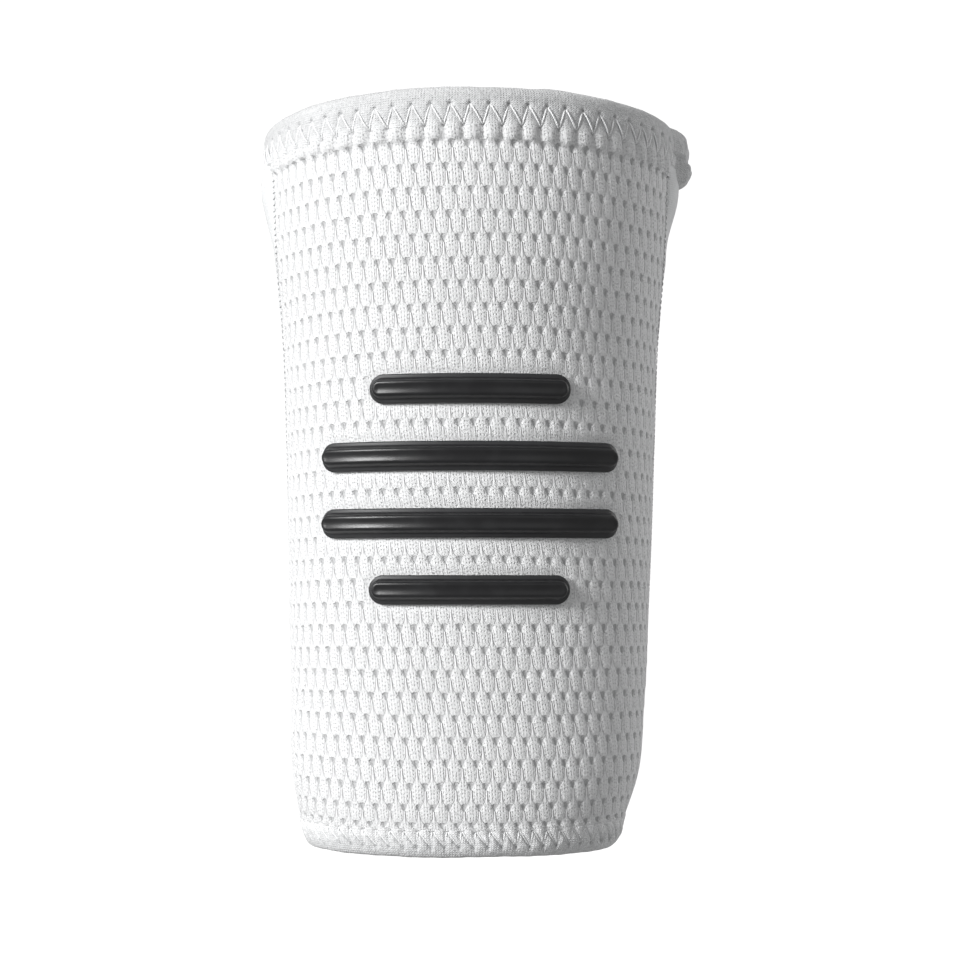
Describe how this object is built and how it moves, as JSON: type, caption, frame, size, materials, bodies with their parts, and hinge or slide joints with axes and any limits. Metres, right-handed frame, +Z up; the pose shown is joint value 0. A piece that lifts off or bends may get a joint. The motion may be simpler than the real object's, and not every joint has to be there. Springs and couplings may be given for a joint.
{
  "type": "wrist guard",
  "caption": "Worn wrist guard: a tapered sleeve of raised knit with a smooth stretch back, zigzag-stitched folded hems and moulded ribs on its padded front.",
  "frame": {"origin": "on the arm's axis, level with the front of the wrist edge", "axes": "+Z up the arm from the wrist edge to the forearm edge, -Y out of the padded front, +X to the right of someone who looks at the front"},
  "size_m": [0.0886, 0.0743, 0.15],
  "materials": {
    "raised_knit": "matt white raised air-mesh knit",
    "stretch_knit": "smooth pale stretch jersey",
    "band_knit": "fine white folded knit with zigzag stitching",
    "satin_rubber": "black satin moulded rubber"
  },
  "bodies": {
    "root": {"front_panel": "raised_knit", "back_panel": "stretch_knit", "forearm_hem": "band_knit", "wrist_hem": "band_knit", "hem_joint": "band_knit", "impact_rib_1": "satin_rubber", "impact_rib_2": "satin_rubber", "impact_rib_3": "satin_rubber", "impact_rib_4": "satin_rubber"}
  },
  "joints": []
}
